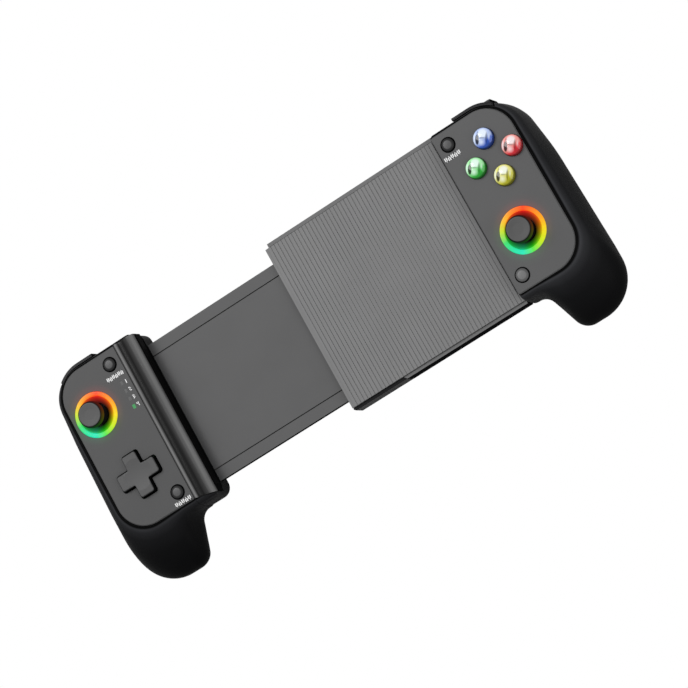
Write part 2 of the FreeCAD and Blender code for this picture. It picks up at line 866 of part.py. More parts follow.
def right_rear_shell(outer):
    east = face_spots()["east"]
    shell = rear_shell(outer, east, face_flange_r)
    shell = shell.cut(post(*east, plate_under - 0.1, face_z + 1, face_r + gap))
    shell = shell.multiFuse([solid.common(outer) for solid in tongue_bosses() + cradle()])
    half = tongue_half + tray_fit
    shell = shell.cut(box(-1, wall + 0.5, -half, half, tray_z, floor_z + 0.6))
    for side in (-1, 1):
        shell = shell.cut(post(tongue_screw_u, side * tongue_screw_v, floor_z - sleeve_screw_len,
                               tray_z + 1, screw_r))
    mouth = port_mouth(0.1).extrude(Vector(0, 20, 0))
    mouth.translate(Vector(0, 2.0, 0))
    return shell.cut(mouth)


def right_faceplate():
    plate = faceplate_blank()
    plate = open_round(plate, right_stick_uv, ring_r + ring_fit)
    for spot in face_spots().values():
        plate = open_round(plate, spot, face_r + face_gap)
    for spot in (upper_small_uv, lower_small_uv):
        plate = open_round(plate, spot, small_r + small_gap)
    return plate


def wall_pad():
    return box(-pad_t, 0, -pad_half, pad_half, bed_z + pad_low, bed_z + pad_high)


# Phone bed

def sleeve_tray():
    plan = [(sleeve_x, tray_front - ledge_w, 2.0), (seam_x, tray_front - ledge_w, 0),
            (seam_x, tray_back + rim_w, 0), (sleeve_x, tray_back + rim_w, 2.0)]
    body = prism(rounded(plan), tray_z, bed_z - ledge_drop)
    body = body.cut(box(sleeve_x - 1, seam_x + 1, tray_front, tray_back + rim_w + 1, floor_z, face_z))
    rim = box(sleeve_x + 2.0, seam_x, tray_back, tray_back + rim_w, tray_z, bed_z - rim_drop)
    tongue = box(seam_x - 1, seam_x + tongue_len, -tongue_half, tongue_half, tray_z, floor_z)
    tray = fuse([body, rim, tongue])
    tray = tray.cut(prism(guard_pocket(), tray_z - 1, face_z))
    u, v = screw_spots[2]
    tray = tray.cut(post(seam_x + u, v, tray_z - 1, floor_z + 1, post_r + 0.4))
    for x, v in sleeve_screws():
        tray = tray.cut(post(x, v, tray_z - 1, tray_z + sleeve_head_t, screw_head_r + 0.1))
        tray = tray.cut(post(x, v, tray_z, floor_z + 1, screw_r))
    for side in (-1, 1):
        tray = tray.cut(post(seam_x + tongue_screw_u, side * tongue_screw_v, tray_z - 1, floor_z + 1,
                             screw_r))
    return tray


def guard_outline():
    x1 = sleeve_x + guard_len
    v0 = tray_front - ledge_w
    return rounded([(sleeve_x, v0 + guard_chamfer, 0), (sleeve_x + guard_chamfer, v0, 0), (x1, v0, 0),
                    (x1 - ledge_w, tray_front, 0), (sleeve_x, tray_front, 0)])


def guard_pocket():
    x0 = sleeve_x - 1
    x1 = sleeve_x + guard_len + guard_fit
    v0 = tray_front - ledge_w
    return rounded([(x0, v0 - 1, 0), (x1, v0 - 1, 0), (x1, v0, 0), (x1 - ledge_w, tray_front, 0),
                    (x0, tray_front, 0)])


def sleeve_screws():
    spots = []
    for x in sleeve_screw_xs:
        spots += [(x, tray_front + sleeve_screw_inset), (x, tray_back - sleeve_screw_inset)]
    return spots


def tray_screws():
    screws = []
    for x, v in sleeve_screws():
        head = post(x, v, tray_z, tray_z + sleeve_head_t, screw_head_r)
        end = tray_z + sleeve_head_t + sleeve_screw_len
        screws.append(fuse([head, post(x, v, tray_z, end, screw_r)]))
    for side in (-1, 1):
        u, v = seam_x + tongue_screw_u, side * tongue_screw_v
        head = post(u, v, floor_z, floor_z + sleeve_head_t, screw_head_r)
        screws.append(fuse([head, post(u, v, floor_z - sleeve_screw_len, floor_z, screw_r)]))
    return Part.Compound(screws)


def sleeve_guides():
    solids = []
    slot = box(sleeve_x - 1, seam_x + 1, slider_v0 - gap, slider_v1 + gap, slider_low - gap,
               slider_z + gap)
    for v0, v1 in ((tray_front, slider_v0 + guide_lip), (slider_v1 - guide_lip, tray_back)):
        solids.append(box(sleeve_x, seam_x, v0, v1, floor_z, bed_under).cut(slot))
    holes = [post(x, v, floor_z - 1, tray_z + sleeve_head_t + sleeve_screw_len, screw_r)
             for x, v in sleeve_screws()]
    return Part.Compound([solid.cut(Part.Compound(holes)) for solid in solids])


def ribbed_plate():
    z0 = bed_z - rib_h
    points = [(sleeve_x, bed_under), (sleeve_x, z0)]
    count = int((sleeve_len - 2 * rib_margin) / rib_pitch)
    for k in range(count):
        x = sleeve_x + rib_margin + k * rib_pitch
        points += [(x, z0), (x, bed_z), (x + rib_w, bed_z), (x + rib_w, z0)]
    points += [(seam_x, z0), (seam_x, bed_under)]
    return along_v(points, bed_shift - bed_half, bed_shift + bed_half)


# Slider, jaw and cable

def slider_frame():
    frame = box(-seam_x + slider_tuck, slider_x1, slider_v0, slider_v1, slider_low, slider_z)
    bed = box(-seam_x, slider_x1 + 1, slider_v0 + rail_w, slider_v1 - rail_w, slider_z - panel_t,
              slider_z + 1)
    frame = frame.cut(bed)
    for x, v in slider_screw_spots():
        frame = frame.cut(post(x, v, slider_low - 1, slider_low + slider_screw_bite, screw_r))
    return frame


def slider_panel():
    return box(-seam_x + slider_tuck, slider_x1, slider_v0 + rail_w + panel_groove,
               slider_v1 - rail_w - panel_groove, slider_z - panel_t, slider_z)


def slider_screw_spots():
    x = -seam_x + jaw_w / 2
    spots = []
    for inset_v in slider_screw_insets:
        spots += [(x, slider_v0 + inset_v), (x, slider_v1 - inset_v)]
    return spots


def slider_screws():
    screws = []
    for x, v in slider_screw_spots():
        head = post(x, v, jaw_base_z, jaw_base_z + sleeve_head_t, screw_head_r)
        shaft = post(x, v, jaw_base_z, slider_low + slider_screw_bite, screw_r)
        screws.append(fuse([head, shaft]))
    return Part.Compound(screws)


def jaw_plan():
    """Outline of the block under the clamp jaw, in the handle's plane with u negative."""
    v0 = -half_h - jaw_front
    v1 = half_h + jaw_back
    return rounded([(-jaw_w, v0, jaw_corner), (wall, v0, 0), (wall, v1, 0), (-jaw_w, v1, jaw_corner)])


def jaw_block():
    return prism(jaw_plan(), jaw_base_z, jaw_seat_z)


def jaw_length(play):
    """The bar's room: its front end leans forwards from the seam to the phone's side."""
    lean = jaw_reach / jaw_top_w
    u0 = -jaw_w - 1
    v0 = -half_h - play
    points = [(u0, v0 + lean * u0), (1, v0 + lean), (1, half_h), (u0, half_h)]
    return prism(rounded([(u, v, 0) for u, v in points]), jaw_seat_z, face_z + 2)


def jaw_cheeks():
    """Ends of the jaw above its block, with the slope that the shell has beside them."""
    room = prism(jaw_plan(), jaw_seat_z - 1, face_z + 1).cut(jaw_length(jaw_seam))
    rows = [row for row in sections if face_z - row[0] > jaw_seat_z]
    cheeks = []
    for end, column, reach in ((-1, 8, jaw_front), (1, 1, jaw_back)):
        slope = [(row[column], face_z - row[0]) for row in rows]
        points = [(jaw_seam, jaw_seat_z), (jaw_seam, face_z)] + slope + [(reach, jaw_seat_z)]
        wire = Part.makePolygon([Vector(-jaw_top_w, end * (half_h + out), z)
                                 for out, z in points + points[:1]])
        cheek = Part.Face(wire).extrude(Vector(jaw_top_w + jaw_root, 0, 0))
        cheeks.append(cheek.common(room))
    return cheeks


def left_rear_shell(outer):
    shell = rear_shell(outer, left_stick_uv, dish_flange_r).multiFuse([jaw_block()] + jaw_cheeks())
    slot = box(-jaw_w - 1, -slider_tuck, slider_v0, slider_v1, slider_low, slider_z)
    half = cable_w / 2 + 0.2
    groove = box(-jaw_w - 1, wall + 1, cable_v - half, cable_v + half, slider_low - cable_t - 0.2,
                 slider_low + 0.3)
    shell = shell.cut(slot).cut(groove)
    for x, v in slider_screw_spots():
        u = -x - seam_x
        shell = shell.cut(post(u, v, jaw_base_z - 1, jaw_base_z + sleeve_head_t, screw_head_r + 0.1))
        shell = shell.cut(post(u, v, jaw_base_z, slider_low + 0.5, screw_r))
    return shell


def jaw_face(z):
    """How far the clamp face stands from the seam at height z."""
    return jaw_top_w + (jaw_foot_w - jaw_top_w) * (jaw_brow_z - z) / (jaw_brow_z - jaw_seat_z)


def jaw_profile(v):
    """Section of the clamp jaw above its block, at v."""
    lip = face_z + jaw_lip
    ridge = [(-jaw_seam, face_z + 0.1), (-0.5, lip), (-1.2, lip - 0.05), (-2.6, face_z + jaw_dip),
             (-4.8, face_z + 0.15), (-7.6, face_z + jaw_crown), (-9.7, face_z + 0.5),
             (-jaw_top_w + 0.3, face_z - 0.7), (-jaw_top_w, jaw_brow_z)]
    points = [Vector(u, v, z) for u, z in ridge]
    curve = Part.BSplineCurve()
    curve.interpolate(points)
    start = Vector(-jaw_seam, v, jaw_seat_z)
    foot = Vector(-jaw_face(jaw_seat_z), v, jaw_seat_z)
    return Part.Face(Part.Wire([Part.makeLine(start, points[0]), curve.toShape(),
                                Part.makeLine(points[-1], foot), Part.makeLine(foot, start)]))


def jaw_bar():
    bar = jaw_profile(-half_h - jaw_front).extrude(Vector(0, 2 * half_h + jaw_front, 0))
    return bar.common(jaw_length(0))


def jaw_pad():
    z0 = bed_z + pad_low
    z1 = bed_z + pad_high
    points = [(-jaw_face(z0), z0), (-jaw_face(z1), z1), (-jaw_face(z1) - pad_t, z1),
              (-jaw_face(z0) - pad_t, z0)]
    return along_v(points, -pad_half, pad_half)


def flex_cable():
    v0 = cable_v - cable_w / 2
    v1 = cable_v + cable_w / 2
    top = slider_low
    low = floor_z + cable_t + 0.1
    x0 = -seam_x - cable_reach
    x1 = slider_x1 - 3.0
    run = box(x0, x1, v0, v1, top - cable_t, top)
    riser = box(x0, x0 + cable_t, v0, v1, top - cable_t, board_low)
    r = (top - low) / 2
    bend = rod_y(x1, v0, v1, top - r, r).cut(rod_y(x1, v0 - 1, v1 + 1, top - r, r - cable_t))
    bend = bend.common(box(x1, x1 + r + 1, v0, v1, low, top))
    back = box(x1 - cable_turn, x1, v0, v1, low, low + cable_t)
    return fuse([run, riser, bend, back])


def flex_cable_tail():
    v0 = cable_v - cable_w / 2
    v1 = cable_v + cable_w / 2
    x1 = seam_x + cable_reach
    run = box(sleeve_x + 3.0, x1, v0, v1, floor_z, floor_z + cable_t)
    riser = box(x1 - cable_t, x1, v0, v1, floor_z, board_low)
    return fuse([run, riser])


def left_faceplate():
    plate = faceplate_blank()
    plate = open_round(plate, left_stick_uv, ring_r + ring_fit)
    hole = cross_outline(dpad_arm + dpad_gap, dpad_half + dpad_gap, dpad_corner + 0.3)
    plate = plate.cut(prism(hole, plate_under - 1, face_z + 1))
    for spot in (upper_small_uv, lower_small_uv):
        plate = open_round(plate, spot, small_r + small_gap)
    for u, v in light_spots():
        plate = plate.cut(light_prism(u, v, plate_under - 1, face_z + 1))
    return plate


def add_stick(side, place, uv):
    nodes[side + "_stick_base"] = place(stick_base(*uv))
    nodes[side + "_ring_light"] = place(ring_light(*uv))
    nodes[side + "_stick_dish"] = place(stick_dish(*uv))
    nodes[side + "_stick_yoke"] = place(stick_yoke(*uv))
    nodes[side + "_stick_rocker"] = place(stick_rocker(*uv))
    nodes[side + "_stick"] = place(stick(*uv))


def add_shared(side, place):
    nodes[side + "_board"] = place(board_blank())
    nodes[side + "_case_screws"] = place(case_screws())
    nodes[side + "_switches"] = place(switches())
    nodes[side + "_shoulder_pins"] = place(Part.Compound(shoulder_pins()))
    nodes[side + "_trigger_spring"] = place(trigger_spring())
    nodes[side + "_bumper"] = place(bumper())
    nodes[side + "_trigger"] = place(trigger())


def build_right(outer):
    nodes["right_rear_shell"] = to_right(right_rear_shell(outer))
    nodes["right_faceplate"] = to_right(right_faceplate())
    add_shared("right", to_right)
    add_stick("right", to_right, right_stick_uv)
    nodes["right_membrane"] = to_right(button_membrane(pad_uv, face_spots().values()))
    for name, spot in face_spots().items():
        nodes["face_button_" + name] = to_right(face_button(*spot))
    nodes["start_button"] = to_right(small_button(upper_small_uv))
    nodes["home_button"] = to_right(small_button(lower_small_uv))
    nodes["right_jaw_pad"] = to_right(wall_pad())
    nodes["battery"] = to_right(battery())
    nodes["usb_port"] = to_right(usb_port())


def build_bed():
    nodes["sleeve_tray"] = sleeve_tray()
    nodes["corner_guard"] = prism(guard_outline(), tray_z, bed_z - ledge_drop)
    nodes["sleeve_guides"] = sleeve_guides()
    nodes["ribbed_plate"] = ribbed_plate()
    nodes["tray_screws"] = tray_screws()
    nodes["flex_cable_tail"] = flex_cable_tail()


def build_left(outer):
    nodes["left_rear_shell"] = to_left(left_rear_shell(outer))
    nodes["left_faceplate"] = to_left(left_faceplate())
    add_shared("left", to_left)
    add_stick("left", to_left, left_stick_uv)
    nodes["left_membrane"] = to_left(dpad_contacts())
    nodes["dpad_mount"] = to_left(dpad_mount())
    nodes["dpad_gimbal"] = to_left(dpad_gimbal())
    nodes["dpad_cross"] = to_left(dpad_cross())
    nodes["player_lights"] = to_left(player_lights())
    nodes["select_button"] = to_left(small_button(upper_small_uv))
    nodes["turbo_button"] = to_left(small_button(lower_small_uv))
    nodes["jaw_bar"] = to_left(jaw_bar())
    nodes["left_jaw_pad"] = to_left(jaw_pad())
    nodes["slider_frame"] = slider_frame()
    nodes["slider_panel"] = slider_panel()
    nodes["slider_screws"] = slider_screws()
    nodes["flex_cable"] = flex_cable()


def main():
    os.makedirs("parts", exist_ok=True)
    outer = handle_form(0)
    build_right(outer)
    build_bed()
    build_left(outer)
    extent = Part.Compound(list(nodes.values())).optimalBoundingBox(True, False)
    shift = Vector(-extent.Center.x, -extent.Center.y, -extent.ZMin)
    print("extent", extent, "shift", shift)
    for name, shape in nodes.items():
        shape.translate(shift)
        shape.exportStep("parts/" + name + ".step")
        print(name, len(shape.Solids), round(shape.Volume, 1), shape.isValid())


if __name__ == "__main__":
    main()
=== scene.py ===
import bpy
import math
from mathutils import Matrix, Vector

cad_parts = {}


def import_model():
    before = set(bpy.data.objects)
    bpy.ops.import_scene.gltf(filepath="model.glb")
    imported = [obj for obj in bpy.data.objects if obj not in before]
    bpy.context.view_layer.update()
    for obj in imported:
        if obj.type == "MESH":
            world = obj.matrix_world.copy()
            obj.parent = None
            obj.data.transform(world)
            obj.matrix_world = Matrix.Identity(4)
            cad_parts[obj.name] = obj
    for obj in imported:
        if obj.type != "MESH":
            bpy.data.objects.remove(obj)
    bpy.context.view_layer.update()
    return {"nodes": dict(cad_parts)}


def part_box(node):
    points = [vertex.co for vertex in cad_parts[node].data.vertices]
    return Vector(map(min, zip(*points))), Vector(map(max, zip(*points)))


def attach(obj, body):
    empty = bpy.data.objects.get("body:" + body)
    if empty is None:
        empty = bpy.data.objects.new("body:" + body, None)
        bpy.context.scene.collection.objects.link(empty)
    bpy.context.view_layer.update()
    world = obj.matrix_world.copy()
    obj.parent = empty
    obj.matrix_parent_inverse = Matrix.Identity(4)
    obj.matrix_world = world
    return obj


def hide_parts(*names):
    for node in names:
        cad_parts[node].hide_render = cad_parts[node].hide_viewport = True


# A telescopic phone gamepad seen from above at the right front, on white.
# Profiles are in millimetres, and MM turns them into metres. A handle is described in its own
# plane, as the part is: u outwards from the seam beside the phone, v towards the shoulder
# buttons, z up.

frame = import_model()
nodes = frame["nodes"]

MM = 0.001

# Layout read from the frame
right_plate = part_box("right_faceplate")
face_z = right_plate[1].z / MM
seam_x = right_plate[0].x / MM
mid_y = (right_plate[0].y + right_plate[1].y) / 2
HOME_BODY = {"right": "right_half", "left": "left_handle"}

# Camera at the photograph's viewing angle: place in metres, turn in degrees, lens and sensor in mm
CAMERA_PLACE = (0.403035, mid_y - 0.295998, 1.34753)
CAMERA_TURN = (1.6688, 20.1007, -30.3718)
CAMERA_LENS = 158.825
CAMERA_SENSOR = 36.0
# The picture's upright seen in the part's plane, in degrees from +X
UPRIGHT = 90.0 + CAMERA_TURN[2]

# Colours, as linear values
BLACK = (0.004, 0.004, 0.0042)
PLATE_GRAY = (0.074, 0.074, 0.075)
BED_GRAY = (0.158, 0.158, 0.159)
SLIDER_GRAY = (0.076, 0.076, 0.077)
SHELL_BLACK = (0.0042, 0.0043, 0.0047)
TRIGGER_BLACK = (0.010, 0.010, 0.011)
GUARD_BLACK = (0.005, 0.005, 0.0055)
BUTTON_GRAY = (0.062, 0.062, 0.063)
HOME_GRAY = (0.135, 0.135, 0.136)
STICK_BLACK = (0.058, 0.058, 0.058)
RUBBER_BLACK = (0.008, 0.008, 0.008)
# The pad's black is a darker copy of RUBBER_BLACK: painted shade for the pad on the jaw's wall
PAD_SHADED_BLACK = (0.0022, 0.0022, 0.0023)
STEEL = (0.42, 0.42, 0.43)
CABLE_AMBER = (0.36, 0.13, 0.02)
BOARD_GREEN = (0.01, 0.07, 0.03)
FOIL = (0.5, 0.5, 0.52)
MEMBRANE_GRAY = (0.1, 0.1, 0.1)
MARK_WHITE = (0.74, 0.74, 0.74)
LIT_GREEN = (0.01, 0.15, 0.035)
FLOOR_GRAY = (0.8, 0.8, 0.8)
WHITE = (1.0, 1.0, 1.0)
# Dye of each clear button by its place: name, lit colour for the painted light, colour at its deepest
DYES_LIT_AND_SHADED = {
    "north": ("blue", (0.42, 0.52, 0.80), (0.020, 0.085, 0.48)),
    "east": ("red", (0.80, 0.30, 0.27), (0.66, 0.018, 0.030)),
    "south": ("yellow", (0.72, 0.70, 0.20), (0.50, 0.48, 0.015)),
    "west": ("green", (0.34, 0.78, 0.36), (0.02, 0.42, 0.035)),
}
# What the lit dye turns towards in the painted highlight patches
HIGHLIGHT_TONE = (0.80, 0.86, 0.88)

# Colour round a lit ring: 0.5 is the picture's top, 0.25 its right side, 0 and 1 its foot
HUES = ((0.0, (0.02, 0.78, 0.48)), (0.083, (0.12, 0.80, 0.07)), (0.167, (0.58, 0.84, 0.015)),
        (0.25, (0.92, 0.72, 0.01)), (0.333, (1.0, 0.40, 0.01)), (0.5, (1.0, 0.07, 0.012)),
        (0.60, (1.0, 0.27, 0.02)), (0.68, (1.0, 0.52, 0.03)), (0.76, (0.55, 0.75, 0.03)),
        (0.85, (0.05, 0.72, 0.16)), (0.93, (0.02, 0.76, 0.36)), (1.0, (0.02, 0.78, 0.48)))

# Painted highlights and painted reflections inside a clear button, on the circle of its dome with
# radius 1 and the picture's upright as +y: place, half size, soft edge, strength, whether a highlight
PAINTED_LIGHT_PATCHES = (((0.0, 0.44), (0.52, 0.50), 0.40, 1.0, True),
           ((-0.06, -0.40), (0.44, 0.40), 0.95, 0.75, True),
           ((-0.80, 0.0), (0.15, 0.60), 0.50, 0.8, True),
           ((0.64, 0.12), (0.12, 0.42), 0.90, 0.6, True),
           ((-0.48, 0.34), (0.12, 0.46), 0.50, 0.45, False),
           ((0.40, -0.02), (0.13, 0.66), 0.50, 0.55, False),
           ((-0.04, 0.02), (0.46, 0.10), 0.60, 0.45, False),
           ((-0.50, -0.14), (0.22, 0.54), 0.25, 0.97, False))


def centre_of(node):
    low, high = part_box(node)
    return (low + high) / 2


# Material helpers

def gray(value):
    return (value, value, value)


def shade(colour, k):
    return tuple(min(1.0, c * k) for c in colour)


def new_material(name):
    material = bpy.data.materials.new(name)
    material.use_nodes = True
    tree = material.node_tree
    return material, tree, tree.nodes["Principled BSDF"]


def add(tree, kind, **inputs):
    node = tree.nodes.new(kind)
    for key, value in inputs.items():
        node.inputs[key].default_value = value
    return node


def coordinate(tree, kind):
    return tree.nodes.new("ShaderNodeTexCoord").outputs[kind]


def mapped(tree, source, **values):
    node = add(tree, "ShaderNodeMapping", **values)
    tree.links.new(source, node.inputs["Vector"])
    return node.outputs["Vector"]


def noise(tree, scale, detail=3.0, rough=0.5, source=None):
    node = add(tree, "ShaderNodeTexNoise", Scale=scale, Detail=detail, Roughness=rough)
    tree.links.new(source or coordinate(tree, "Object"), node.inputs["Vector"])
    return node.outputs["Fac"]


def ramp(tree, source, stops):
    """Colours by a value, running straight from each (place, colour) stop to the next."""
    node = tree.nodes.new("ShaderNodeValToRGB")
    elements = node.color_ramp.elements
    while len(elements) < len(stops):
        elements.new(0.5)
    for element, (place, colour) in zip(elements, stops):
        element.position = place
        element.color = (*colour, 1.0)
    tree.links.new(source, node.inputs["Fac"])
    return node.outputs["Color"]


def gray_ramp(tree, source, *stops):
    return ramp(tree, source, [(place, gray(value)) for place, value in stops])


def mix(tree, share, first, second, mode="MIX"):
    """Blends two colours, each a constant or a socket."""
    node = tree.nodes.new("ShaderNodeMixRGB")
    node.blend_type = mode
    for key, value in (("Fac", share), ("Color1", first), ("Color2", second)):
        if isinstance(value, bpy.types.NodeSocket):
            tree.links.new(value, node.inputs[key])
        elif isinstance(value, tuple):
            node.inputs[key].default_value = (*value, 1.0)
        else:
            node.inputs[key].default_value = value
    return node.outputs["Color"]


def multiply(tree, first, second):
    return mix(tree, 1.0, first, second, "MULTIPLY")


def part_of(tree, source, axis):
    node = tree.nodes.new("ShaderNodeSeparateXYZ")
    tree.links.new(source, node.inputs["Vector"])
    return node.outputs[axis]


def level(tree, low, high):
    """0 on upright faces and 1 on level ones, changing between two slopes."""
    node = add(tree, "ShaderNodeMapRange", **{"From Min": low, "From Max": high})
    tree.links.new(part_of(tree, coordinate(tree, "Normal"), "Z"), node.inputs["Value"])
    return node.outputs["Result"]


def dull_sides(tree, shader, share, specular):
    """Takes the plain reflection off upright faces, where share is 0."""
    shader.inputs["Specular IOR Level"].default_value = specular
    amount = mix(tree, share, gray(0.0), gray(specular))
    tree.links.new(amount, shader.inputs["Specular IOR Level"])


def plastic(name, colour, rough=0.5, grain=2600.0, grain_depth=0.02, mottle=0.05, specular=0.3,
            side=None, slope=(0.55, 0.8)):
    """Moulded plastic: spark grain, faint cloudy tone, uneven gloss, and painted shade on upright sides
    if asked.
    """
    material, tree, shader = new_material(name)
    spark = noise(tree, grain, 2.0, 0.6)
    clouds = noise(tree, 45.0, 4.0)
    cloudy = ramp(tree, clouds, [(0.25, shade(colour, 1 - mottle)), (0.75, shade(colour, 1 + mottle))])
    flecks = ramp(tree, spark, [(0.3, shade(colour, 0.5)), (0.7, shade(colour, 1.5))])
    tone = mix(tree, 0.10, cloudy, flecks)
    shader.inputs["Specular IOR Level"].default_value = specular
    # Painted shade: upright faces take the side colour and lose their plain reflection.
    if side:
        share = level(tree, *slope)
        tone = mix(tree, share, side, tone)
        dull_sides(tree, shader, share, specular)
    tree.links.new(tone, shader.inputs["Base Color"])
    gloss = gray_ramp(tree, spark, (0.3, rough * 0.92), (0.7, min(1.0, rough * 1.08)))
    tree.links.new(gloss, shader.inputs["Roughness"])
    bump = add(tree, "ShaderNodeBump", Strength=0.6, Distance=grain_depth * MM)
    tree.links.new(spark, bump.inputs["Height"])
    tree.links.new(bump.outputs["Normal"], shader.inputs["Normal"])
    return material


def metal(name, colour, rough=0.3):
    """Turned or drawn metal with fine scratches along one way."""
    material, tree, shader = new_material(name)
    drawn = mapped(tree, coordinate(tree, "Object"), Scale=(9000.0, 600.0, 9000.0))
    lines = noise(tree, 1.0, 4.0, source=drawn)
    tone = ramp(tree, lines, [(0.3, shade(colour, 0.8)), (0.7, shade(colour, 1.15))])
    tree.links.new(tone, shader.inputs["Base Color"])
    gloss = gray_ramp(tree, lines, (0.3, rough * 0.8), (0.7, rough * 1.3))
    tree.links.new(gloss, shader.inputs["Roughness"])
    shader.inputs["Metallic"].default_value = 1.0
    return material


def shell_look(name, colour):
    """Soft-touch shell with painted light by height: painted shade at the faceplate's gap, a painted
    highlight on the edge round it, and painted shade deepening to black low on the grip."""
    low_z, rim_z = 12.0, 32.6
    look = plastic(name, colour, 0.48, mottle=0.15, specular=0.035)
    tree = look.node_tree
    base = tree.nodes["Principled BSDF"].inputs["Base Color"]
    # Painted light by height: shade low on the grip, a highlight on the edge round the faceplate, shade
    # at its gap.
    height = add(tree, "ShaderNodeMapRange", **{"From Min": low_z * MM, "From Max": rim_z * MM})
    tree.links.new(part_of(tree, coordinate(tree, "Object"), "Z"), height.inputs["Value"])
    painted_sheen_and_shade = gray_ramp(tree, height.outputs["Result"], (0.0, 0.25), (0.40, 0.6), (0.70, 1.2), (0.86, 2.4),
                     (0.94, 5.0), (0.972, 9.0), (0.988, 0.3))
    plain = base.links[0].from_socket
    tree.links.new(multiply(tree, plain, painted_sheen_and_shade), base)
    return look


def jaw_look():
    """Satin bar in painted light: a thin bright painted highlight on the lip, painted shade in the
    groove, a lighter crown as painted highlight, and black ends and wall as painted shade.
    """
    material, tree, shader = new_material("jaw_gray")
    across = part_of(tree, coordinate(tree, "Generated"), "X")
    # Painted light across the bar: highlight on the lip and crown, shade in the groove.
    painted_light_bands = gray_ramp(tree, across, (0.0, 0.05), (0.09, 0.180), (0.13, 0.115), (0.19, 0.008),
                      (0.45, 0.006), (0.66, 0.036), (0.77, 0.080), (0.85, 0.140), (0.94, 0.155),
                      (0.98, 0.085))
    drawn = mapped(tree, coordinate(tree, "Object"), Scale=(900.0, 30.0, 900.0))
    streaks = noise(tree, 1.0, 3.0, source=drawn)
    painted_sheen_and_shade = multiply(tree, painted_light_bands, gray_ramp(tree, streaks, (0.3, 0.86), (0.7, 1.0)))
    # Painted shade: upright ends and wall turn black and lose their plain reflection.
    share = level(tree, 0.03, 0.20)
    tree.links.new(mix(tree, share, BLACK, painted_sheen_and_shade), shader.inputs["Base Color"])
    dull_sides(tree, shader, share, 0.13)
    tree.links.new(gray_ramp(tree, streaks, (0.3, 0.26), (0.7, 0.34)), shader.inputs["Roughness"])
    return material


def around(tree, centre):
    """Colour of the lit rings by the angle about centre."""
    local = mapped(tree, coordinate(tree, "Object"), Location=(-centre.x, -centre.y, 0))
    turned = mapped(tree, local, Rotation=(0, 0, -math.radians(UPRIGHT)))
    sweep = tree.nodes.new("ShaderNodeTexGradient")
    sweep.gradient_type = "RADIAL"
    tree.links.new(turned, sweep.inputs["Vector"])
    return ramp(tree, sweep.outputs["Fac"], HUES)


def nearness(tree, source, centre, size):
    """1 at centre, falling evenly to 0 on an upright column whose half width is size."""
    place = (-centre[0] / size[0], -centre[1] / size[1], 0.0)
    scale = (1 / size[0], 1 / size[1], 0.0)
    ball = tree.nodes.new("ShaderNodeTexGradient")
    ball.gradient_type = "SPHERICAL"
    tree.links.new(mapped(tree, source, Location=place, Scale=scale), ball.inputs["Vector"])
    return ball.outputs["Fac"]


def spot(tree, source, centre, size, edge):
    """1 inside an oval about centre, falling to 0 at its rim."""
    return gray_ramp(tree, nearness(tree, source, centre, size), (0.0, 0.0), (edge, 1.0))


def lit_ring(name, centre):
    """Milky light guide whose colour runs round the ring."""
    material, tree, shader = new_material(name)
    hues = around(tree, centre)
    milk = noise(tree, 900.0, 2.0)
    uneven = multiply(tree, hues, gray_ramp(tree, milk, (0.2, 0.88), (0.8, 1.0)))
    tree.links.new(mix(tree, 0.85, uneven, BLACK), shader.inputs["Base Color"])
    tree.links.new(uneven, shader.inputs["Emission Color"])
    shader.inputs["Emission Strength"].default_value = 0.95
    shader.inputs["Roughness"].default_value = 0.3
    shader.inputs["Specular IOR Level"].default_value = 0.15
    return material


def shine(material, centre, spread, stops):
    """Adds the ring's faint light about centre. Stops give its strength by the distance from there,
    as a share of spread."""
    tree = material.node_tree
    shader = tree.nodes["Principled BSDF"]
    near = nearness(tree, coordinate(tree, "Object"), centre, (spread * MM, spread * MM))
    reach = gray_ramp(tree, near, *[(1 - far, strength) for far, strength in stops])
    hues = around(tree, centre)
    rich = multiply(tree, hues, hues)
    tree.links.new(multiply(tree, rich, reach), shader.inputs["Emission Color"])
    shader.inputs["Emission Strength"].default_value = 1.0
    return material


def dish_look(name, centre):
    """Black cone with the ring's light painted on as a glow near its rim."""
    look = plastic(name, RUBBER_BLACK, 0.35, specular=0.15)
    # The ring's light on the dish is painted glow.
    return shine(look, centre, 11.0, [(0.82, 0.80), (0.70, 0.34), (0.54, 0.06)])


def stick_look(name, centre):
    """Rubber cap with the ring's light painted on its rim as a glow, and painted shade on its steep
    sides.
    """
    # Side colour: painted shade on the cap's steep sides; shine adds the ring's light as painted glow.
    look = plastic(name, STICK_BLACK, 0.55, side=RUBBER_BLACK, slope=(0.90, 0.985), specular=0.4)
    return shine(look, centre, 8.0, [(0.84, 0.10), (0.77, 0.05), (0.72, 0.0)])


def plate_look(name, colour, centre):
    """Satin plate with the ring's faint light on it."""
    return shine(plastic(name, colour, 0.52), centre, 17.0, [(1.0, 0.0), (0.85, 0.008), (0.65, 0.07)])


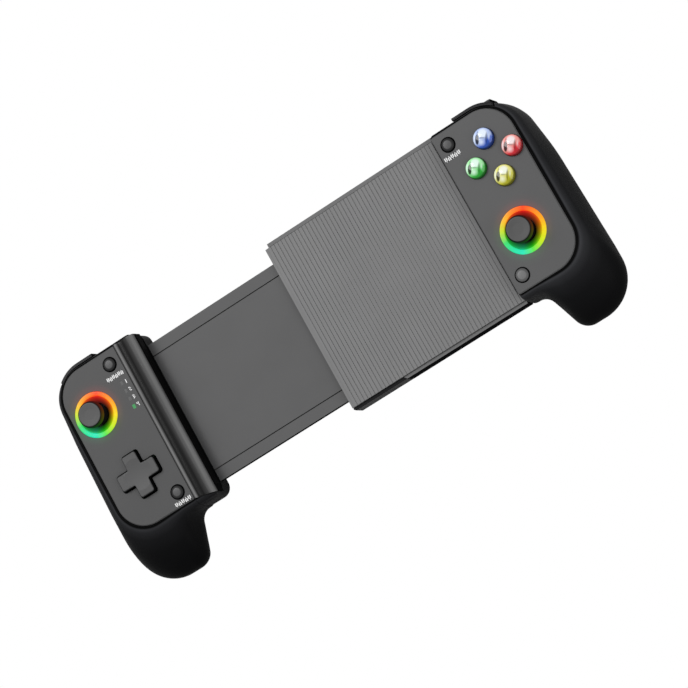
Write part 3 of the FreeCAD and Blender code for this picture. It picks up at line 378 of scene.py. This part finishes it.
def crystal(name, centre, lit_tint, deep, radius):
    """Clear moulded dome, painted lighter where light gathers and its dye deepest in painted shade at
    the low rim.
    """
    material, tree, shader = new_material(name)
    fall = math.radians(52)
    grow = 1 / (radius * MM)
    local = mapped(tree, coordinate(tree, "Object"), Location=(-centre.x, -centre.y, 0))
    unit = mapped(tree, local, Rotation=(0, 0, math.radians(90.0 - UPRIGHT)), Scale=(grow, grow, 0))
    waves = noise(tree, 2.2, 1.5, source=unit)
    slant = mapped(tree, unit, Rotation=(0, 0, fall), Location=(0.5, 0, 0), Scale=(0.5, 0.5, 0))
    run = mix(tree, 0.16, part_of(tree, slant, "X"), waves)
    # Colours of the painted highlight patches and the painted reflection patches.
    painted_highlight = mix(tree, 0.72, lit_tint, HIGHLIGHT_TONE)
    painted_dark_reflection = shade(deep, 0.04)
    # Painted light: lighter on the lit side, and painted shade deepening the dye towards the low rim.
    body = ramp(tree, run, [(0.20, shade(lit_tint, 1.15)), (0.54, shade(lit_tint, 0.9)), (0.70, deep),
                            (0.92, shade(deep, 0.45))])
    for place, size, edge, strength, is_highlight in PAINTED_LIGHT_PATCHES:
        patch = multiply(tree, spot(tree, unit, place, size, edge), gray(strength))
        body = mix(tree, patch, body, painted_highlight if is_highlight else painted_dark_reflection)
    # Painted shadow in the gap round the dome: darker dye outside its circle.
    inside = spot(tree, unit, (-0.04, 0.04), (1.0, 1.0), 0.09)
    tree.links.new(mix(tree, inside, shade(deep, 0.30), body), shader.inputs["Base Color"])
    tree.links.new(gray_ramp(tree, waves, (0.3, 0.12), (0.7, 0.20)), shader.inputs["Roughness"])
    shader.inputs["Specular IOR Level"].default_value = 0.3
    shader.inputs["Coat Weight"].default_value = 0.22
    shader.inputs["Coat Roughness"].default_value = 0.03
    return material


def lamp_window(name):
    """Row of small windows of which only the last one is lit."""
    material, tree, shader = new_material(name)
    along = part_of(tree, coordinate(tree, "Generated"), "Y")
    last = gray_ramp(tree, along, (0.25, 1.0), (0.30, 0.0))
    milk = noise(tree, 1500.0, 2.0)
    cover = ramp(tree, milk, [(0.3, shade(PLATE_GRAY, 0.6)), (0.7, shade(PLATE_GRAY, 0.9))])
    tree.links.new(mix(tree, last, cover, LIT_GREEN), shader.inputs["Base Color"])
    tree.links.new(multiply(tree, last, LIT_GREEN), shader.inputs["Emission Color"])
    shader.inputs["Emission Strength"].default_value = 0.7
    return material


MAT = {
    "right_plate": plate_look("right_plate_gray", PLATE_GRAY, centre_of("right_stick_dish")),
    # Darker copy of the plate colour: painted shade on the left handle.
    "left_plate": plate_look("left_plate_gray_painted_shade", shade(PLATE_GRAY, 0.77), centre_of("left_stick_dish")),
    "bed": plastic("bed_gray", BED_GRAY, 0.55),
    # The side colours in this table are painted shade on upright faces.
    "tray": plastic("tray_gray", shade(BED_GRAY, 0.75), 0.55, side=GUARD_BLACK),
    "slider": plastic("slider_gray", SLIDER_GRAY, 0.55, side=BLACK),
    "right_shell": shell_look("right_shell_black", SHELL_BLACK),
    # Darker copy of the shell colour: painted shade on the left handle.
    "left_shell": shell_look("left_shell_black_painted_shade", shade(SHELL_BLACK, 0.7)),
    "guard": plastic("guard_black", GUARD_BLACK, 0.5, specular=0.09),
    "jaw": jaw_look(),
    "button": plastic("button_gray", BUTTON_GRAY, 0.38, side=BLACK, slope=(0.86, 0.97)),
    "home": plastic("home_gray", HOME_GRAY, 0.40, side=BLACK, slope=(0.80, 0.95)),
    "cross": plastic("cross_gray", shade(PLATE_GRAY, 0.88), 0.50, side=BLACK),
    "rubber": plastic("pad_rubber", PAD_SHADED_BLACK, 0.75, grain=1500.0, grain_depth=0.05, specular=0.03),
    "inner": plastic("inner_black", RUBBER_BLACK, 0.6),
    "trigger": plastic("trigger_black", TRIGGER_BLACK, 0.36, specular=0.16, side=GUARD_BLACK,
                       slope=(0.3, 0.8)),
    "board": plastic("board_green", BOARD_GREEN, 0.35),
    "steel": metal("steel", STEEL, 0.3),
    "foil": metal("foil", FOIL, 0.4),
    "cable": plastic("cable_amber", CABLE_AMBER, 0.3),
    "membrane": plastic("membrane_gray", MEMBRANE_GRAY, 0.6),
    "lights": lamp_window("light_windows"),
    "mark": plastic("mark_white", MARK_WHITE, 0.6),
}

NODE_LOOK = {
    "right_rear_shell": "right_shell", "left_rear_shell": "left_shell",
    "right_faceplate": "right_plate", "left_faceplate": "left_plate",
    "sleeve_tray": "tray", "ribbed_plate": "bed",
    "corner_guard": "guard", "screws": "steel", "board": "board", "battery": "foil",
    "membrane": "membrane", "jaw_pad": "rubber", "pins": "steel", "spring": "steel",
    "usb_port": "steel", "flex_cable": "cable", "jaw_bar": "jaw", "slider_frame": "slider",
    "slider_panel": "slider", "player_lights": "lights", "dpad_cross": "cross",
    "bumper": "trigger", "trigger": "trigger",
}


def look_of(name):
    fits = [key for key in NODE_LOOK if key in name]
    return NODE_LOOK[max(fits, key=len)] if fits else "inner"


def paint(obj, material):
    obj.data.materials.clear()
    obj.data.materials.append(material)


# Rounding of the CAD nodes: how near points are one, the turn that counts as flat, the turn that
# counts as an edge, and the width taken off an edge
WELD_D = 0.002
FLAT_TURN = math.radians(0.3)
EDGE_TURN = math.radians(40)
EDGE_W = 0.15
BEVELLED = ("faceplate", "sleeve_tray", "corner_guard", "jaw_bar", "slider_frame", "slider_panel",
            "dpad_cross", "bumper", "trigger")


def dress(obj):
    """Rounds a CAD node's sharp edges a little."""
    weld = obj.modifiers.new("weld", "WELD")
    weld.merge_threshold = WELD_D * MM
    flat = obj.modifiers.new("flat", "DECIMATE")
    flat.decimate_type = "DISSOLVE"
    flat.angle_limit = FLAT_TURN
    bevel = obj.modifiers.new("bevel", "BEVEL")
    bevel.width = EDGE_W * MM
    bevel.segments = 2
    bevel.limit_method = "ANGLE"
    bevel.angle_limit = EDGE_TURN
    bevel.harden_normals = True


for name, obj in nodes.items():
    paint(obj, MAT[look_of(name)])
    if name.endswith(BEVELLED):
        dress(obj)


# Mesh helpers

def add_mesh(name, verts, faces, material, body, smooth=True):
    mesh = bpy.data.meshes.new(name)
    mesh.from_pydata([tuple(v) for v in verts], [], faces)
    mesh.validate()
    obj = bpy.data.objects.new(name, mesh)
    bpy.context.scene.collection.objects.link(obj)
    paint(obj, material)
    if smooth:
        mesh.shade_smooth()
    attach(obj, body)
    return obj


def soften(points, steps=5):
    """Outline through (a, b, radius) corners, each one rounded by its radius."""
    out = []
    count = len(points)
    for i, (a, b, r) in enumerate(points):
        here = Vector((a, b))
        if r == 0 or i in (0, count - 1):
            out.append((a, b))
            continue
        come = (Vector(points[i - 1][:2]) - here).normalized()
        go = (Vector(points[(i + 1) % count][:2]) - here).normalized()
        turn = math.pi - come.angle(go)
        reach = r * math.tan(turn / 2)
        start = here + come * reach
        end = here + go * reach
        for k in range(steps + 1):
            t = k / steps
            out.append(tuple(start * (1 - t) ** 2 + here * 2 * t * (1 - t) + end * t ** 2))
    return out


# Flats round each kind of turned piece
STICK_SEGMENTS = 128
CRYSTAL_SEGMENTS = 96
SMALL_SEGMENTS = 80


def lathe(name, profile, centre, material, body, segments, closed=False):
    """Turns (r, z) points in millimetres about the upright axis through centre."""
    verts = []
    rows = []
    for r, z in profile:
        if r < 1e-6:
            rows.append([len(verts)])
            verts.append((centre.x, centre.y, z * MM))
            continue
        rows.append(list(range(len(verts), len(verts) + segments)))
        for k in range(segments):
            a = 2 * math.pi * k / segments
            verts.append((centre.x + r * MM * math.cos(a), centre.y + r * MM * math.sin(a), z * MM))
    faces = []
    pairs = list(zip(rows, rows[1:]))
    if closed:
        pairs.append((rows[-1], rows[0]))
    for low, high in pairs:
        for k in range(segments):
            n = (k + 1) % segments
            ring = [low[k % len(low)], low[n % len(low)], high[n % len(high)], high[k % len(high)]]
            face = list(dict.fromkeys(ring))
            if len(face) > 2:
                faces.append(face)
    return add_mesh(name, verts, faces, material, body)


# Sticks

def cap_profile(top):
    """Thumb cap with a shallow hollow, on a stem that widens into its foot."""
    cap_r, cap_t = 6.5, 3.4
    stem_r = 2.4
    foot_r, foot_z = 5.2, 29.95
    under = top - cap_t
    return soften([(0, top - 0.25, 0), (2.6, top - 0.22, 2.0), (5.15, top, 0.8), (5.9, top - 0.05, 0.9),
                   (cap_r - 0.05, top - 1.5, 0.8), (cap_r, top - 2.6, 0.6), (cap_r - 0.35, under, 0.35),
                   (stem_r + 0.3, under, 0.5), (stem_r, under - 1.2, 0.6), (stem_r, foot_z + 2.45, 0.5),
                   (stem_r + 0.7, foot_z + 1.6, 0.6), (foot_r, foot_z, 0.2), (foot_r - 0.8, foot_z, 0.1),
                   (0, foot_z + 0.25, 0)])


def dish_profile():
    """Round well with a flange under the faceplate and a sloping throat about the stick."""
    flange_r, flange_low, flange_top = 11.95, 30.05, 30.95
    wall_r, rim_z = 8.85, 33.0
    throat_r = 5.65
    return soften([(flange_r, flange_low, 0), (flange_r, flange_top, 0), (wall_r, flange_top, 0),
                   (wall_r, rim_z - 0.1, 0), (wall_r - 0.15, rim_z, 0.05),
                   (wall_r - 0.4, rim_z - 0.05, 0.15), (throat_r + 0.55, flange_top + 0.05, 0.8),
                   (throat_r, flange_top - 0.25, 0.3), (throat_r, flange_low, 0)])


def ring_profile():
    """Lit ring with a rounded crest, standing a little over the faceplate."""
    inner_r, outer_r = 8.95, 11.0
    foot_z, crest_z = 31.0, 33.25
    return soften([(inner_r, foot_z, 0), (outer_r, foot_z, 0), (outer_r, crest_z - 0.25, 0),
                   (outer_r - 0.15, crest_z - 0.05, 0.12), (outer_r - 0.5, crest_z, 0.2),
                   (inner_r + 0.45, crest_z, 0.2), (inner_r + 0.1, crest_z - 0.1, 0.15),
                   (inner_r, crest_z - 0.35, 0)])


def make_stick(side):
    centre = centre_of(side + "_stick_dish")
    body = side + "_stick"
    home = HOME_BODY[side]
    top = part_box(body)[1].z / MM
    rubber = stick_look(side + "_stick_rubber", centre)
    cap = lathe(body + "_cap", cap_profile(top), centre, rubber, body, STICK_SEGMENTS)
    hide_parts(body)
    black = dish_look(side + "_dish_black", centre)
    bowl = lathe(side + "_dish", dish_profile(), centre, black, home, STICK_SEGMENTS, closed=True)
    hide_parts(side + "_stick_dish")
    glow = lit_ring(side + "_ring_glow", centre)
    ring = lathe(side + "_lit_ring", ring_profile(), centre, glow, home, STICK_SEGMENTS, closed=True)
    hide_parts(side + "_ring_light")


# Buttons

def make_crystal(where, lit_tint, deep):
    """Clear dome on its flange and stem."""
    node = "face_button_" + where
    centre = centre_of(node)
    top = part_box(node)[1].z / MM
    dome_r, dome_h = 4.9, 2.1
    stem_r, stem_low = 3.0, 24.2
    flange_r, flange_low, flange_top = 5.7, 29.8, 30.8
    flatness = 0.9
    steps = 14
    profile = [(0, stem_low), (stem_r, stem_low), (stem_r, flange_low), (flange_r, flange_low),
               (flange_r, flange_top), (dome_r, flange_top)]
    for k in range(steps):
        a = math.pi / 2 * k / steps
        profile.append((dome_r * math.cos(a) ** flatness, top - dome_h + dome_h * math.sin(a)))
    profile.append((0, top))
    look = crystal(where + "_clear", centre, lit_tint, deep, dome_r)
    glass = lathe(where + "_crystal", profile, centre, look, node, CRYSTAL_SEGMENTS)
    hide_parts(node)


def make_small(name, material):
    """Low round button on its flange and stem."""
    centre = centre_of(name)
    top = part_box(name)[1].z / MM
    cap_r = 3.35
    flange_r, flange_low, flange_top = 4.1, 29.85, 30.8
    stem_r, stem_low = 1.6, 23.6
    profile = soften([(0, top, 0), (1.9, top - 0.12, 1.2), (cap_r - 0.15, top - 0.75, 0.5),
                      (cap_r, top - 1.3, 0.2), (cap_r, flange_top, 0), (flange_r, flange_top, 0.1),
                      (flange_r, flange_low, 0.1), (stem_r, flange_low, 0.1), (stem_r, stem_low, 0.2),
                      (0, stem_low, 0)])
    cap = lathe(name + "_cap", profile, centre, material, name, SMALL_SEGMENTS)
    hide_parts(name)


# Printed marks: plain bars where the small buttons are named, and plain numbers at the lights

PRINT_T = 0.03
BAR_GAP = 0.48


def print_marks(name, strokes, width, side, u, v):
    """Thin printed strokes on a faceplate, each between two points in millimetres about (u, v)."""
    x0 = seam_x + u if side == "right" else -seam_x - u
    verts = []
    faces = []
    for ends in strokes:
        start, end = (Vector(point) for point in ends)
        way = (end - start).normalized() * width / 2
        out = Vector((-way.y, way.x))
        first = len(verts)
        for z in (0.0, PRINT_T):
            for x, y in (start - way - out, end + way - out, end + way + out, start - way + out):
                verts.append(((x0 + x) * MM, mid_y + (v + y) * MM, (face_z + z) * MM))
        a = [first + k for k in range(8)]
        faces += [(a[0], a[1], a[2], a[3]), (a[7], a[6], a[5], a[4])]
        faces += [(a[k], a[k + 4], a[(k + 1) % 4 + 4], a[(k + 1) % 4]) for k in range(4)]
    mark = add_mesh(name, verts, faces, MAT["mark"], HOME_BODY[side], smooth=False)


def chain(*points):
    return list(zip(points, points[1:]))


def bar_row(count, pitch, height):
    """Pairs of upright bars joined at the foot or the head by turns, centred."""
    strokes = []
    half = pitch * BAR_GAP / 2
    low, top = -height / 2, height / 2
    for k in range(count):
        x = (k - (count - 1) / 2) * pitch
        joined = top if k % 2 else low
        strokes += chain((x - half, low), (x - half, top))
        strokes += chain((x + half, low), (x + half, top))
        strokes += chain((x - half, joined), (x + half, joined))
    return strokes


def numbers():
    """Strokes of the numbers 1 to 4."""
    left, right = -0.4, 0.4
    low, mid, top = -0.75, 0.0, 0.75
    return (
        chain((0, low), (0, top)),
        chain((left, top), (right, top), (right, mid), (left, mid), (left, low), (right, low)),
        chain((left, top), (right, top), (right, low)) + chain((right, mid), (left, mid))
        + chain((left, low), (right, low)),
        chain((left, top), (left, mid), (right, mid)) + chain((right, top), (right, low)),
    )


def make_prints():
    print_marks("start_bars", bar_row(5, 1.75, 1.7), 0.5, "right", 5.3, 29.2)
    print_marks("select_bars", bar_row(6, 1.6, 1.7), 0.48, "left", 6.5, 28.65)
    print_marks("turbo_bars", bar_row(5, 1.85, 1.6), 0.52, "left", 5.9, -40.0)
    first_v, pitch = 23.8, 4.15
    for k, strokes in enumerate(numbers()):
        print_marks("number_%d" % (k + 1), strokes, 0.42, "left", 2.7, first_v - k * pitch)


make_stick("right")
make_stick("left")
for name in ("start_button", "select_button", "turbo_button"):
    make_small(name, MAT["button"])
make_small("home_button", MAT["home"])
for where, (dye, lit_tint, deep) in DYES_LIT_AND_SHADED.items():
    make_crystal(where, lit_tint, deep)
make_prints()


# Stage, light and camera

def stage_floor():
    """White to the camera, and pale to the light that it throws back."""
    half, low = 6.0, -0.2 * MM
    material, tree, shader = new_material("floor_white")
    shader.inputs["Base Color"].default_value = (*FLOOR_GRAY, 1.0)
    shader.inputs["Roughness"].default_value = 0.9
    glow = add(tree, "ShaderNodeEmission", Color=(*WHITE, 1.0), Strength=1.0)
    blend = tree.nodes.new("ShaderNodeMixShader")
    rays = tree.nodes.new("ShaderNodeLightPath")
    tree.links.new(rays.outputs["Is Camera Ray"], blend.inputs["Fac"])
    tree.links.new(shader.outputs["BSDF"], blend.inputs[1])
    tree.links.new(glow.outputs["Emission"], blend.inputs[2])
    tree.links.new(blend.outputs["Shader"], tree.nodes["Material Output"].inputs["Surface"])
    mesh = bpy.data.meshes.new("floor")
    corners = [(-half, -half, low), (half, -half, low), (half, half, low), (-half, half, low)]
    mesh.from_pydata(corners, [], [(0, 1, 2, 3)])
    floor = bpy.data.objects.new("floor", mesh)
    bpy.context.scene.collection.objects.link(floor)
    paint(floor, material)


def lamp(name, place, size, power):
    """Square soft light that faces the frame's origin."""
    data = bpy.data.lights.new(name, "AREA")
    data.size = size
    data.energy = power
    obj = bpy.data.objects.new(name, data)
    obj.location = place
    obj.rotation_euler = (-Vector(place)).to_track_quat("-Z", "Y").to_euler()
    bpy.context.scene.collection.objects.link(obj)


def world():
    back = bpy.data.worlds.new("studio")
    back.use_nodes = True
    shader = back.node_tree.nodes["Background"]
    shader.inputs["Color"].default_value = (*WHITE, 1.0)
    shader.inputs["Strength"].default_value = 0.55
    bpy.context.scene.world = back


def camera():
    data = bpy.data.cameras.new("camera")
    data.lens = CAMERA_LENS
    data.sensor_width = CAMERA_SENSOR
    data.clip_end = 20.0
    obj = bpy.data.objects.new("camera", data)
    obj.location = CAMERA_PLACE
    obj.rotation_euler = [math.radians(a) for a in CAMERA_TURN]
    bpy.context.scene.collection.objects.link(obj)
    bpy.context.scene.camera = obj


stage_floor()
world()
lamp("key", place=(-0.5, 0.7, 1.1), size=0.7, power=12.0)
lamp("fill", place=(0.9, -0.6, 0.9), size=0.9, power=6.0)
camera()
bpy.context.scene.view_settings.view_transform = "Standard"
